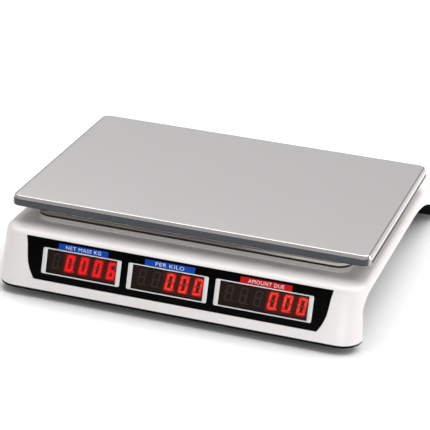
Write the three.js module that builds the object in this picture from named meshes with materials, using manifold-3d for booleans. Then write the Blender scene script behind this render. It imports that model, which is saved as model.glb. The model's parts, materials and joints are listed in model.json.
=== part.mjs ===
// Price-computing counting scale. Millimetres, +Z up, customer display towards -Y,
// operator's console towards +Y, origin under the middle of the housing on the table top.
import * as THREE from 'three';
import { mergeVertices } from 'three/addons/utils/BufferGeometryUtils.js';
import Module from 'manifold-3d';

const wasm = await Module();
wasm.setup();

// ---- driving dimensions ----
const GAP = 0.3; // clearance between neighbouring pieces
const ARC_STEPS = 6; // segments in a rounded corner

// housing
const WIDTH = 344;
const DEPTH = 355;
const WALL = 2.5;
const FLOOR_Z = 6.5; // underside of the base tray
const TRAY_T = 1.9;
const COVER_Z = FLOOR_Z + TRAY_T + GAP; // lower edge of the white cover
const DECK_Z = 58;
const FACE_LEAN = THREE.MathUtils.degToRad(14.5);
const SIDE_LEAN = 0.03; // run per rise
const REAR_LEAN = 0.06;
const FRONT_CORNER = 20;
const REAR_CORNER = 18;
const DECK_EDGE = 5;
const RAISED_EDGE = 4; // rounding of the plinth and the console

// pan and the platform under it
const PAN_Y = -27; // middle of the pan
const PAN_W = 340;
const PAN_D = 235;
const PAN_TOP = 82;
const PAN_RIM = 9.5;
const PAN_SHEET = 1.2;
const PAN_CORNER = 9;
const PLINTH_W = 299;
const PLINTH_FRONT = -134.5;
const PLINTH_REAR = 77;
const PLINTH_Z = 68;
const PLINTH_CORNER = 14;
const GROOVE = { z: 62.2, h: 2.2, depth: 1.2 }; // shadow groove round the plinth

// operator's console
const HUMP_HALF = 150;
const HUMP_FRONT = 94;
const HUMP_REAR = DEPTH / 2 - 8;
const HUMP_CORNER = 10;
const RIDGE_Y = 103;
const RIDGE_Z = 74;
const SLOPE = THREE.MathUtils.degToRad(27.5);
const REAR_ROUND = 8;

// side arches and the waist of the tray behind them
const ARCH_Z = 48.5;
const ARCH_FRONT = -157.5;
const ARCH_FILLET = 16;
const ARCH_BEND_Y = 33; // where the arch starts to sweep down
const ARCH_SWEEP = 205;
const WAIST_HALF = 148;
const WAIST_FRONT = -155;
const WAIST_REAR = 146;
const WAIST_RADII = { frontLobe: 0.3, front: 7, rear: 9, rearLobe: 5 };
const LOW_WALL_Z = 13; // wall of the tray inside the cover's front and rear
const TRAY_WALL = { side: 3.6, end: 4.2, t: 2.2, waistT: 2 }; // drawn in from the housing's outline
const TRAY_INSET = { side: 0.8, end: 0.5 };
const THROUGH_Z = 40; // height that hole cutters in the tray reach

// feet, screws
const FOOT_X = 125;
const FOOT_Y = [-139, 150];
const FOOT_R = 12;
const FOOT_H = 5;
const FOOT_EDGE = 1.2;
const STUD_TOP = 24;
const STUD_R = 4;
const STUD_GAP = 0.25;
const BOSS_R = 8;
const BOSS_Z = 18;
const SCREW_X = 140;
const SCREW_Y = [-158, 158];
const SCREW = { r: 1.5, hole: 1.8, headR: 3.5, headH: 2.2, length: 18, pilot: 20, bossR: 4.5 };

// load cell
const CELL = {
  length: 130, width: 30, height: 22, bottom: 27, eyeR: 8.5, eyeX: 15, slot: 6, tapped: 12,
};
const CELL_ARM = 50; // bolts' middle from the cell's middle
const BOLT_PITCH = 16;
const BOLT_R = 3;
const BOLT_HEAD = { r: 5, lower: 3, upper: 3.2 };
const BOLT_GRIP = 10; // thread inside the load cell
const SPACER_W = 34;
const SPIDER = {
  bottom: 71, top: 76, reachX: 122, reachY: 74, arm: 18, endR: 12, padR: 8,
  plate: [150, 56], hub: [32, 28], opening: 40,
};

// digit windows: left and right edges, as read
const WINDOWS = [[-127, -51], [-45, 31.5], [37.5, 128]];
const WINDOW_V = 29; // middle, up the face from the tray's underside
const PANEL = { bottom: 11.5, top: 50, halfTop: 144, halfBottom: 133.5, bulge: 5, t: 2 };
const MODULE = { inset: 4, h: 19, t: 8 };
const OPENING = { half: 131, halfV: 14, inset: 2 }; // through the cover behind each row of windows
const BOARD_T = 1.6;
const FACE_BOARD = { half: 128, halfV: 15 };
const CONSOLE_BOARD = { half: 130, over: 1, under: 3 }; // beyond and short of the lens and pad

// keypad, measured down the console's slope
const LENS = { top: 4, bottom: 30, half: 140 };
const KEYS = {
  cols: 5, rows: 4, pitchX: 20, pitchV: 11, w: 15, h: 8, x: 62, v: 38.5,
  stand: 2, travel: 1, round: 1, taper: 0.8,
};
const PAD = { top: 32.5, bottom: 77.5, half: 53, t: 1.6, proud: 0.4 };

// sockets on the rear wall, battery and board on the tray
const INLET = {
  x: 92, z: 21, w: 24, h: 15, depth: 18, lip: [4, 3.5], mouth: 12, pinR: 1.2, pinX: 4, pinFront: -3,
};
const SWITCH = {
  x: 55, z: 21, w: 22, h: 13, depth: 16, r: 8.5, sink: 1.7, tilt: Math.PI / 20, wall: 1.5, lip: 3, dip: 1.5,
};
const FLANGE = { out: 2, t: 1.5, y: 176 }; // round both sockets, flush with the rear wall
const BATTERY = { x: -62, y: 76, w: 96, d: 50, h: 42, tab: [8, 5, 3], tabX: 36 };
const DOOR = { w: 112, d: 62 };
const MAIN_BOARD = { x: 75, y: 80, w: 110, d: 62, z: 15, postR: 3, postInset: 5 };
const SEAT = 0.5; // depth by which parts mounted on another are let into it
const VIAL = { x: -159, y: 113, r: 6, depth: 6, rise: 0.8, chamfer: 0.6 };

// ---- solids and outlines ----
function solidOf(geometry) {
  const bare = geometry.index ? geometry.toNonIndexed() : geometry.clone();
  bare.deleteAttribute('normal');
  bare.deleteAttribute('uv');
  const merged = mergeVertices(bare, 1e-4);
  return new wasm.Manifold(new wasm.Mesh({
    numProp: 3,
    vertProperties: new Float32Array(merged.attributes.position.array),
    triVerts: new Uint32Array(merged.index.array),
  }));
}

function geometryOf(solid) {
  const mesh = solid.getMesh();
  const geometry = new THREE.BufferGeometry();
  geometry.setAttribute('position', new THREE.BufferAttribute(new Float32Array(mesh.vertProperties), 3));
  geometry.setIndex(new THREE.BufferAttribute(new Uint32Array(mesh.triVerts), 1));
  return geometry;
}

// Polygon [x, y, radius] with each corner rounded; anticlockwise.
function rounded(corners, steps = ARC_STEPS) {
  const points = [];
  corners.forEach(([x, y, radius], i) => {
    const here = new THREE.Vector2(x, y);
    if (!radius) {
      points.push(here);
      return;
    }
    const before = new THREE.Vector2(...corners.at(i - 1).slice(0, 2)).sub(here).normalize();
    const after = new THREE.Vector2(...corners[(i + 1) % corners.length].slice(0, 2)).sub(here).normalize();
    const half = Math.acos(before.dot(after)) / 2;
    const centre = before.clone().add(after).normalize().multiplyScalar(radius / Math.sin(half)).add(here);
    const start = before.clone().multiplyScalar(radius / Math.tan(half)).add(here).sub(centre);
    const turn = Math.PI - 2 * half;
    const sign = Math.sign(after.cross(before));
    for (let k = 0; k <= steps; k += 1) {
      points.push(start.clone().rotateAround(new THREE.Vector2(), sign * turn * k / steps).add(centre));
    }
  });
  return points;
}

function rectangle(halfX, front, rear, frontRadius = 0, rearRadius = frontRadius) {
  return rounded([
    [-halfX, front, frontRadius], [halfX, front, frontRadius],
    [halfX, rear, rearRadius], [-halfX, rear, rearRadius],
  ]);
}

// Closed solid through outlines of equal length, each at its own height.
function loft(sections) {
  const count = sections[0].outline.length;
  const positions = sections.flatMap(({ outline, z }) => outline.flatMap((p) => [p.x, p.y, z]));
  const index = [];
  for (let level = 0; level < sections.length - 1; level += 1) {
    for (let i = 0; i < count; i += 1) {
      const a = level * count + i;
      const b = level * count + (i + 1) % count;
      index.push(a, b, b + count, a, b + count, a + count);
    }
  }
  const last = (sections.length - 1) * count;
  THREE.ShapeUtils.triangulateShape(sections[0].outline, []).forEach(([a, b, c]) => index.push(a, c, b));
  THREE.ShapeUtils.triangulateShape(sections.at(-1).outline, [])
    .forEach(([a, b, c]) => index.push(last + a, last + b, last + c));
  const geometry = new THREE.BufferGeometry();
  geometry.setAttribute('position', new THREE.Float32BufferAttribute(positions, 3));
  geometry.setIndex(index);
  return solidOf(geometry);
}

const prism = (outline, z0, z1) => loft([{ outline, z: z0 }, { outline, z: z1 }]);

function block(w, d, h, x, y, z) {
  return solidOf(new THREE.BoxGeometry(w, d, h).translate(x, y, z + h / 2));
}

function rod(r, z0, z1, x, y, sides = 24) {
  const geometry = new THREE.CylinderGeometry(r, r, z1 - z0, sides);
  return solidOf(geometry.rotateX(Math.PI / 2).translate(x, y, (z0 + z1) / 2));
}

// Outline drawn in the YZ plane, drawn out along X.
function acrossX(outline, x0, x1) {
  const shape = new THREE.Shape(outline);
  const geometry = new THREE.ExtrudeGeometry(shape, { depth: x1 - x0, bevelEnabled: false });
  const toYZ = new THREE.Matrix4().makeBasis(
    new THREE.Vector3(0, 1, 0),
    new THREE.Vector3(0, 0, 1),
    new THREE.Vector3(1, 0, 0),
  );
  return solidOf(geometry.applyMatrix4(toYZ).translate(x0, 0, 0));
}

const union = (solids) => solids.reduce((sum, solid) => sum.add(solid));

// ---- frames of the two sloping faces, as their readers see them: x right, y up the face, z out of it ----
const faceFrame = new THREE.Matrix4().makeRotationX(Math.PI / 2 - FACE_LEAN)
  .setPosition(0, -DEPTH / 2, FLOOR_Z);
const slopeFrame = new THREE.Matrix4().makeRotationX(-SLOPE)
  .multiply(new THREE.Matrix4().makeRotationZ(Math.PI)).setPosition(0, RIDGE_Y, RIDGE_Z);
const placed = (solid, frame) => solidOf(geometryOf(solid).applyMatrix4(frame));

const group = new THREE.Group();
const faceGroup = new THREE.Group();
const slopeGroup = new THREE.Group();
faceGroup.applyMatrix4(faceFrame);
slopeGroup.applyMatrix4(slopeFrame);
group.add(faceGroup, slopeGroup);

const FINISH = {
  white: { color: 0xe6e2dd, roughness: 0.45, metalness: 0 },
  black: { color: 0x121212, roughness: 0.5, metalness: 0 },
  gloss: { color: 0x060606, roughness: 0.12, metalness: 0 },
  steel: { color: 0xb9b8b7, roughness: 0.3, metalness: 1 },
  bolt: { color: 0x8f9194, roughness: 0.35, metalness: 1 },
  cast: { color: 0xb4b6b8, roughness: 0.5, metalness: 1 },
  rubber: { color: 0x1c1a19, roughness: 0.85, metalness: 0 },
  board: { color: 0x1d5b34, roughness: 0.6, metalness: 0 },
  digits: { color: 0x2c1614, roughness: 0.4, metalness: 0 },
  grey: { color: 0x5a5d61, roughness: 0.6, metalness: 0 },
  key: { color: 0xd9dadb, roughness: 0.55, metalness: 0 },
  battery: { color: 0x33353a, roughness: 0.6, metalness: 0 },
  vial: { color: 0xb7d84a, roughness: 0.1, metalness: 0 },
};

function piece(name, solid, finish, parent = group) {
  const mesh = new THREE.Mesh(geometryOf(solid), new THREE.MeshStandardMaterial(FINISH[finish]));
  mesh.name = name;
  parent.add(mesh);
  return mesh;
}

// ---- housing envelope, drawn in by `inset` for the cavity and what fits in it ----
const quarter = (n) => Array.from({ length: n + 1 }, (_, k) => (Math.PI / 2) * (k / n));

function envelopeOutline(z, inset, trim) {
  const rise = z - FLOOR_Z;
  const side = WIDTH / 2 - SIDE_LEAN * rise - inset - trim;
  const front = -DEPTH / 2 + Math.tan(FACE_LEAN) * rise + inset / Math.cos(FACE_LEAN) + trim;
  const rear = DEPTH / 2 - REAR_LEAN * rise - inset - trim;
  return rectangle(side, front, rear, FRONT_CORNER - inset, REAR_CORNER - inset);
}

function deckBody(bottom, inset) {
  const top = DECK_Z - inset;
  const edge = DECK_EDGE - Math.min(inset, DECK_EDGE - 1);
  const rim = quarter(4).map((a) => {
    const z = top - edge + edge * Math.sin(a);
    return { z, outline: envelopeOutline(z, inset, edge * (1 - Math.cos(a))) };
  });
  return loft([{ z: bottom, outline: envelopeOutline(bottom, inset, 0) }, ...rim]);
}

// Raised rounded block standing on the deck.
function raised(half, front, rear, top, corner, inset) {
  const edge = RAISED_EDGE - Math.min(inset, RAISED_EDGE - 1);
  const shape = (trim) => {
    const by = inset + trim;
    return rectangle(half - by, front + by, rear - by, corner - inset);
  };
  const rim = quarter(3).map((a) => ({
    z: top - inset - edge + edge * Math.sin(a),
    outline: shape(edge * (1 - Math.cos(a))),
  }));
  return loft([{ z: DECK_Z - 2 * DECK_EDGE, outline: shape(0) }, ...rim]);
}

// Everything above the console's slope and its rounded rear edge.
function aboveSlope(inset) {
  const radius = REAR_ROUND - inset;
  const wallRear = DEPTH / 2 - REAR_LEAN * (DECK_Z - FLOOR_Z) / 2 - inset;
  const lineZ = (y) => RIDGE_Z - Math.tan(SLOPE) * (y - RIDGE_Y) - inset / Math.cos(SLOPE);
  const cy = wallRear - radius;
  const cz = lineZ(cy) - radius / Math.cos(SLOPE);
  const arc = [];
  for (let k = 0; k <= 5; k += 1) {
    const a = (Math.PI / 2 - SLOPE) * (1 - k / 5);
    arc.push(new THREE.Vector2(cy + radius * Math.cos(a), cz + radius * Math.sin(a)));
  }
  const far = DEPTH / 2 + 20;
  const near = HUMP_FRONT - 12;
  const outline = [
    new THREE.Vector2(near, lineZ(near)), ...arc, new THREE.Vector2(cy + radius, cz - 1),
    new THREE.Vector2(far, cz - 1), new THREE.Vector2(far, 2 * RIDGE_Z),
    new THREE.Vector2(near, 2 * RIDGE_Z),
  ];
  return acrossX(outline, -WIDTH, WIDTH);
}

function envelope(bottom, inset) {
  const plinth = raised(PLINTH_W / 2, PLINTH_FRONT, PLINTH_REAR, PLINTH_Z, PLINTH_CORNER, inset);
  const hump = raised(HUMP_HALF, HUMP_FRONT, HUMP_REAR, RIDGE_Z, HUMP_CORNER, inset);
  return union([deckBody(bottom, inset), plinth, hump]).subtract(aboveSlope(inset));
}

// ---- cover ----
const footPlaces = FOOT_Y.flatMap((y) => [[-FOOT_X, y], [FOOT_X, y]]);
const screwPlaces = SCREW_Y.flatMap((y) => [[-SCREW_X, y], [SCREW_X, y]]);

function archOutline() {
  const outline = rounded([
    [ARCH_FRONT, 0, 0], [ARCH_BEND_Y, 0, 0], [ARCH_BEND_Y, ARCH_Z, 0], [ARCH_FRONT, ARCH_Z, ARCH_FILLET],
  ]);
  const sweep = [];
  const last = Math.acos(1 - ARCH_Z / ARCH_SWEEP);
  for (let k = 10; k >= 1; k -= 1) {
    const a = last * k / 10;
    const drop = ARCH_SWEEP * (1 - Math.cos(a));
    sweep.push(new THREE.Vector2(ARCH_BEND_Y + ARCH_SWEEP * Math.sin(a), ARCH_Z - drop));
  }
  return [outline[0], ...sweep, ...outline.slice(2)];
}

function panelOutline(grow) {
  const side = (t) => PANEL.halfBottom + (PANEL.halfTop - PANEL.halfBottom) * t
    + PANEL.bulge * Math.sin(Math.PI * t) * (1 - t) + grow;
  const v = (t) => THREE.MathUtils.lerp(PANEL.bottom - grow, PANEL.top + grow, t);
  const right = [0, 0.2, 0.4, 0.6, 0.8, 1].map((t) => new THREE.Vector2(side(t), v(t)));
  return [...right, ...right.map((p) => new THREE.Vector2(-p.x, p.y)).reverse()];
}

// Rectangle on a sloping face, x0..x1 across and v0..v1 up the face.
function patch(x0, x1, v0, v1, z0, z1) {
  const outline = [[x0, v0, 0], [x1, v0, 0], [x1, v1, 0], [x0, v1, 0]];
  return prism(rounded(outline), z0, z1);
}

const keyCentres = [];
for (let row = 0; row < KEYS.rows; row += 1) {
  for (let col = 0; col < KEYS.cols; col += 1) {
    const x = KEYS.x + (col - (KEYS.cols - 1) / 2) * KEYS.pitchX;
    keyCentres.push([x, -(KEYS.v + row * KEYS.pitchV)]);
  }
}

function keyHoles(z0, z1) {
  const [hx, hv] = [KEYS.w / 2 + GAP, KEYS.h / 2 + GAP];
  return union(keyCentres.map(([x, v]) => patch(x - hx, x + hx, v - hv, v + hv, z0, z1)));
}

function coverOpenings() {
  const behind = -WALL - 3;
  const facePocket = prism(panelOutline(GAP), -PANEL.t - GAP, 3);
  const { half, halfV, inset } = OPENING;
  const faceWindow = patch(-half, half, WINDOW_V - halfV, WINDOW_V + halfV, behind, 1);
  const lensPocket = patch(-LENS.half - GAP, LENS.half + GAP,
    -LENS.bottom - GAP, -LENS.top + GAP, -PANEL.t - GAP, 3);
  const lensWindow = patch(-half, half, -LENS.bottom + inset, -LENS.top - inset, behind, 1);
  const padPocket = patch(KEYS.x - PAD.half - GAP, KEYS.x + PAD.half + GAP,
    -PAD.bottom - GAP, -PAD.top + GAP, -PAD.t - GAP, 3);
  return [
    placed(facePocket.add(faceWindow), faceFrame),
    placed(union([lensPocket, lensWindow, padPocket, keyHoles(behind, 1)]), slopeFrame),
    ...[INLET, SWITCH].map(({ x, z, w, h }) => {
      const grow = 2 * (FLANGE.out + GAP);
      return block(w + grow, 30, h + grow, x, DEPTH / 2, z - (h + grow) / 2);
    }),
    block(SPIDER.opening, SPIDER.opening, SPIDER.opening, CELL_ARM, PAN_Y, DECK_Z - 10),
    rod(VIAL.r + GAP, DECK_Z - 10, DECK_Z + 5, VIAL.x, VIAL.y),
  ];
}

function plinthGroove() {
  const ring = (grow) => prism(
    rectangle(PLINTH_W / 2 + grow, PLINTH_FRONT - grow, PLINTH_REAR + grow, PLINTH_CORNER + grow),
    GROOVE.z,
    GROOVE.z + GROOVE.h,
  );
  return ring(1).subtract(ring(-GROOVE.depth));
}

function coverSolid() {
  const waist = WAIST_HALF + GAP;
  const arches = [[waist, WIDTH], [-WIDTH, -waist]].map(([x0, x1]) => acrossX(archOutline(), x0, x1));
  const inner = envelope(FLOOR_Z - 5, WALL);
  let cover = envelope(COVER_Z, 0).subtract(inner);
  const bosses = screwPlaces.map(([x, y]) => rod(SCREW.bossR, COVER_Z, DECK_Z, x, y, 16));
  cover = cover.add(union(bosses).intersect(envelope(COVER_Z, WALL / 2)));
  [...arches, ...coverOpenings(), plinthGroove()].forEach((cutter) => {
    cover = cover.subtract(cutter);
  });
  const pilots = screwPlaces.map(([x, y]) => rod(SCREW.hole, FLOOR_Z, FLOOR_Z + SCREW.pilot, x, y, 12));
  return cover.subtract(union(pilots));
}

// ---- base tray ----
function dogBone(lobe, waist, end, back) {
  const side = [
    [lobe, -DEPTH / 2 + end, FRONT_CORNER - end], [lobe, WAIST_FRONT - back, WAIST_RADII.frontLobe],
    [waist, WAIST_FRONT - back, WAIST_RADII.front], [waist, WAIST_REAR + back, WAIST_RADII.rear],
    [lobe, WAIST_REAR + back, WAIST_RADII.rearLobe], [lobe, DEPTH / 2 - end, REAR_CORNER - end],
  ];
  return rounded([...side, ...side.map(([x, y, r]) => [-x, y, r]).reverse()], 4);
}

function trayWall() {
  const { side, end, t, waistT } = TRAY_WALL;
  const outer = prism(dogBone(WIDTH / 2 - side, WAIST_HALF, end, 0), FLOOR_Z + 1, DECK_Z);
  const innerShape = dogBone(WIDTH / 2 - side - t, WAIST_HALF - waistT, end + t, waistT);
  const inner = prism(innerShape, FLOOR_Z, DECK_Z + 1);
  const spanY = DEPTH / 2;
  const start = 2 * waistT + spanY / 2; // the low wall begins this far beyond the waist
  const front = block(WIDTH, spanY, DECK_Z, 0, WAIST_FRONT - start, LOW_WALL_Z);
  const rear = block(WIDTH, spanY, DECK_Z, 0, WAIST_REAR + start, LOW_WALL_Z);
  const wall = outer.subtract(inner).subtract(front).subtract(rear);
  return wall.intersect(envelope(FLOOR_Z, WALL + GAP));
}

const lowerBolts = [-1, 1].map((side) => -CELL_ARM + side * BOLT_PITCH / 2);
const upperBolts = [-1, 1].map((side) => CELL_ARM + side * BOLT_PITCH / 2);

function traySolid() {
  const floor = prism(
    dogBone(WIDTH / 2 - TRAY_INSET.side, WAIST_HALF, TRAY_INSET.end, 0),
    FLOOR_Z,
    FLOOR_Z + TRAY_T,
  );
  const bosses = union(footPlaces.map(([x, y]) => rod(BOSS_R, FLOOR_Z, BOSS_Z, x, y)));
  let tray = floor.add(trayWall()).add(bosses);
  const holes = [
    ...footPlaces.map(([x, y]) => rod(STUD_R + STUD_GAP, 0, THROUGH_Z, x, y)),
    ...screwPlaces.map(([x, y]) => rod(SCREW.hole, 0, THROUGH_Z, x, y, 12)),
    ...lowerBolts.map((x) => rod(BOLT_R + GAP, 0, THROUGH_Z, x, PAN_Y, 16)),
    block(DOOR.w + 2 * GAP, DOOR.d + 2 * GAP, 3 * FLOOR_Z, BATTERY.x, BATTERY.y, 0),
  ];
  holes.forEach((hole) => {
    tray = tray.subtract(hole);
  });
  return tray;
}

// ---- pan, its support and the load cell ----
function panSolid() {
  const shell = (inset, bottom) => {
    const edge = 3 - inset;
    const outline = (trim) => rectangle(PAN_W / 2 - inset - trim, PAN_Y - PAN_D / 2 + inset + trim,
      PAN_Y + PAN_D / 2 - inset - trim, PAN_CORNER - inset);
    const rim = quarter(4).map((a) => ({
      z: PAN_TOP - inset - edge + edge * Math.sin(a),
      outline: outline(edge * (1 - Math.cos(a))),
    }));
    return loft([{ z: bottom, outline: outline(0) }, ...rim]);
  };
  return shell(0, PAN_TOP - PAN_RIM).subtract(shell(PAN_SHEET, PAN_TOP - PAN_RIM - 1));
}

const padPlaces = [-1, 1].flatMap((sy) => (
  [-1, 1].map((sx) => [sx * SPIDER.reachX, PAN_Y + sy * SPIDER.reachY])));

function spiderSolid() {
  const { bottom, top, reachX, reachY, arm, endR, plate: [plateW, plateD], hub: [hubW, hubD] } = SPIDER;
  const length = 2 * Math.hypot(reachX, reachY);
  const angle = Math.atan2(reachY, reachX);
  const arms = [-1, 1].map((side) => solidOf(new THREE.BoxGeometry(length, arm, top - bottom)
    .rotateZ(side * angle).translate(0, PAN_Y, (top + bottom) / 2)));
  const ends = padPlaces.map(([x, y]) => rod(endR, bottom, top, x, y));
  const plate = block(plateW, plateD, top - bottom, 0, PAN_Y, bottom);
  const cellTop = CELL.bottom + CELL.height + GAP;
  const hub = block(hubW, hubD, bottom + 1 - cellTop, CELL_ARM, PAN_Y, cellTop);
  const holes = union(upperBolts.map((x) => rod(BOLT_R + GAP, CELL.bottom, PAN_TOP, x, PAN_Y, 16)));
  return union([...arms, ...ends, plate, hub]).subtract(holes);
}

function cellSolid() {
  const { length, width, height, bottom, eyeR, eyeX, slot, tapped } = CELL;
  const bar = block(length, width, height, 0, PAN_Y, bottom);
  const middle = bottom + height / 2;
  const top = bottom + height;
  const round = (x) => {
    const geometry = new THREE.CylinderGeometry(eyeR, eyeR, width + 4, 24);
    return solidOf(geometry.translate(x, PAN_Y, middle));
  };
  const gap = block(2 * eyeX, width + 4, slot, 0, PAN_Y, middle - slot / 2);
  const lower = lowerBolts.map((x) => rod(BOLT_R + GAP, bottom - 1, bottom + tapped, x, PAN_Y, 16));
  const upper = upperBolts.map((x) => rod(BOLT_R + GAP, top - tapped, top + 1, x, PAN_Y, 16));
  return bar.subtract(union([round(-eyeX), round(eyeX), gap, ...lower, ...upper]));
}

function turned(profile, sides = 24) {
  const points = profile.map(([r, z]) => new THREE.Vector2(r, z));
  return solidOf(new THREE.LatheGeometry(points, sides).rotateX(Math.PI / 2));
}

// Cap-headed fastener along Z: the head's bearing face at 0, the shaft towards -Z.
function boltSolid(r, headR, headH, length) {
  const chamfer = 0.5;
  return turned([
    [0, -length], [r - chamfer, -length], [r, chamfer - length], [r, 0], [headR, 0],
    [headR, headH - chamfer], [headR - chamfer, headH], [0, headH],
  ], 16);
}

function addScalePan() {
  const cellTop = CELL.bottom + CELL.height;
  piece('weighing_pan', panSolid(), 'steel');
  piece('pan_support', spiderSolid(), 'cast');
  padPlaces.forEach(([x, y], i) => {
    const top = PAN_TOP - PAN_SHEET - GAP;
    piece(`support_pad_${i + 1}`, rod(SPIDER.padR, SPIDER.top + GAP, top, x, y), 'rubber');
  });
  piece('load_cell', cellSolid(), 'cast');
  const spacerHoles = union(lowerBolts.map((x) => rod(BOLT_R + GAP, 0, DECK_Z, x, PAN_Y, 16)));
  const spacerZ = FLOOR_Z + TRAY_T + GAP;
  const spacer = block(SPACER_W, CELL.width, CELL.bottom - GAP - spacerZ, -CELL_ARM, PAN_Y, spacerZ);
  piece('load_cell_spacer', spacer.subtract(spacerHoles), 'cast');
  lowerBolts.forEach((x, i) => {
    const shaft = CELL.bottom + BOLT_GRIP - FLOOR_Z;
    const solid = boltSolid(BOLT_R, BOLT_HEAD.r, BOLT_HEAD.lower, shaft);
    const bolt = piece(`lower_cell_bolt_${i + 1}`, solid, 'bolt');
    bolt.rotation.x = Math.PI;
    bolt.position.set(x, PAN_Y, FLOOR_Z - GAP);
  });
  upperBolts.forEach((x, i) => {
    const head = SPIDER.top + GAP;
    const solid = boltSolid(BOLT_R, BOLT_HEAD.r, BOLT_HEAD.upper, head - cellTop + BOLT_GRIP);
    const bolt = piece(`upper_cell_bolt_${i + 1}`, solid, 'bolt');
    bolt.position.set(x, PAN_Y, head);
  });
}

// ---- displays, boards and keys on the two sloping faces ----
function addDigits(prefix, spans, v, parent) {
  const back = -PANEL.t - GAP;
  const sides = ['left', 'middle', 'right'];
  spans.forEach(([x0, x1], i) => {
    const box = patch(x0 + MODULE.inset, x1 - MODULE.inset, v - MODULE.h / 2, v + MODULE.h / 2,
      back - MODULE.t, back - GAP);
    piece(`${prefix}_digits_${sides[i]}`, box, 'digits', parent);
  });
  return back - MODULE.t - GAP;
}

function addCustomerDisplay() {
  piece('customer_panel', prism(panelOutline(0), -PANEL.t, 0), 'gloss', faceGroup);
  const z = addDigits('customer', WINDOWS, WINDOW_V, faceGroup);
  const board = patch(-FACE_BOARD.half, FACE_BOARD.half, WINDOW_V - FACE_BOARD.halfV,
    WINDOW_V + FACE_BOARD.halfV, z - BOARD_T, z);
  piece('customer_display_board', board, 'board', faceGroup);
}

function addConsole() {
  const middle = -(LENS.top + LENS.bottom) / 2;
  const panel = patch(-LENS.half, LENS.half, -LENS.bottom, -LENS.top, -PANEL.t, 0);
  piece('operator_panel', panel, 'gloss', slopeGroup);
  const z = addDigits('operator', WINDOWS, middle, slopeGroup);
  const { half, over, under } = CONSOLE_BOARD;
  const display = patch(-half, half, -LENS.bottom - over, -LENS.top - under, z - BOARD_T, z);
  const [padLeft, padRight] = [KEYS.x - PAD.half, KEYS.x + PAD.half];
  const keypad = patch(padLeft, padRight, -PAD.bottom + under, -LENS.bottom, z - BOARD_T, z);
  piece('operator_board', display.add(keypad), 'board', slopeGroup);
  const pad = patch(padLeft, padRight, -PAD.bottom, -PAD.top, -PAD.t, PAD.proud);
  piece('keypad_bezel', pad.subtract(keyHoles(-5, 5)), 'grey', slopeGroup);
  keyCentres.forEach(([x, v], i) => {
    const crown = (trim) => {
      const [hx, hv] = [KEYS.w / 2 - trim, KEYS.h / 2 - trim];
      const corners = [[-hx, -hv], [hx, -hv], [hx, hv], [-hx, hv]];
      return rounded(corners.map(([cx, cv]) => [cx, cv, KEYS.round]), 2);
    };
    const cap = loft([
      { z: z + KEYS.travel + GAP, outline: crown(0) },
      { z: KEYS.stand - KEYS.taper, outline: crown(0) },
      { z: KEYS.stand, outline: crown(KEYS.taper) },
    ]);
    const key = piece(`key_${String(i + 1).padStart(2, '0')}`, cap, 'key', slopeGroup);
    key.position.set(x, v, 0);
  });
}

// ---- power parts, battery, boards and level ----
function socketShell({ w, h, depth }) {
  const flange = rectangle(w / 2 + FLANGE.out, -h / 2 - FLANGE.out, h / 2 + FLANGE.out, 2);
  const body = rectangle(w / 2, -h / 2, h / 2, 1);
  return prism(flange, -FLANGE.t, 0).add(prism(body, -depth, -FLANGE.t / 2));
}

function rockerSolid() {
  const { r, h, wall, dip } = SWITCH;
  const lip = Math.asin(SWITCH.lip / r);
  const arc = Array.from({ length: 17 }, (_, k) => {
    const a = Math.PI - lip + (Math.PI + 2 * lip) * k / 16;
    return new THREE.Vector2(r * Math.cos(a), r * Math.sin(a));
  });
  const shape = new THREE.Shape([...arc, new THREE.Vector2(0, dip)]);
  const width = h - 2 * wall - 2 * GAP;
  const geometry = new THREE.ExtrudeGeometry(shape, { depth: width, bevelEnabled: false });
  return solidOf(geometry.translate(0, 0, -width / 2));
}

function addRearSockets() {
  const [lipX, lipZ] = INLET.lip;
  const mouthShape = rectangle(INLET.w / 2 - lipX, -INLET.h / 2 + lipZ, INLET.h / 2 - lipZ, lipZ);
  const mouth = prism(mouthShape, -INLET.mouth, 5);
  const pins = [-1, 1].map((side) => (
    rod(INLET.pinR, -INLET.mouth - 1, INLET.pinFront, side * INLET.pinX, 0, 10)));
  const inlet = socketShell(INLET).subtract(mouth).add(union(pins));
  const wellH = SWITCH.h - 2 * SWITCH.wall;
  const well = new THREE.CylinderGeometry(SWITCH.r + GAP, SWITCH.r + GAP, wellH, 32);
  const wellMouth = block(2 * (SWITCH.r + GAP), wellH, 10, 0, 0, -SWITCH.sink);
  const frame = socketShell(SWITCH).subtract(solidOf(well.translate(0, 0, -SWITCH.sink)).add(wellMouth));
  [['power_inlet', inlet, INLET], ['switch_body', frame, SWITCH]].forEach(([name, solid, { x, z }]) => {
    const socket = piece(name, solid, 'black');
    socket.rotation.x = -Math.PI / 2;
    socket.position.set(x, FLANGE.y, z);
  });
  const rocker = piece('switch_rocker', rockerSolid(), 'gloss');
  rocker.rotation.z = -SWITCH.tilt;
  rocker.position.set(SWITCH.x, FLANGE.y - SWITCH.sink, SWITCH.z);
}

function boardSolid() {
  const { x, y, w, d, z, postR, postInset } = MAIN_BOARD;
  // offset, size and height of each chip and connector
  const chips = [[-30, 12, 22, 12, 3], [12, -14, 14, 14, 2.5], [38, 16, 18, 16, 12], [-34, -18, 26, 7, 9]];
  const seat = z + BOARD_T - SEAT;
  const parts = chips.map(([dx, dy, cw, cd, ch]) => block(cw, cd, ch + SEAT, x + dx, y + dy, seat));
  const [postX, postY] = [w / 2 - postInset, d / 2 - postInset];
  const posts = [-1, 1].flatMap((sx) => [-1, 1].map((sy) => (
    rod(postR, FLOOR_Z + TRAY_T + GAP, z + SEAT, x + sx * postX, y + sy * postY, 12))));
  return union([block(w, d, BOARD_T, x, y, z), ...parts, ...posts]);
}

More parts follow.
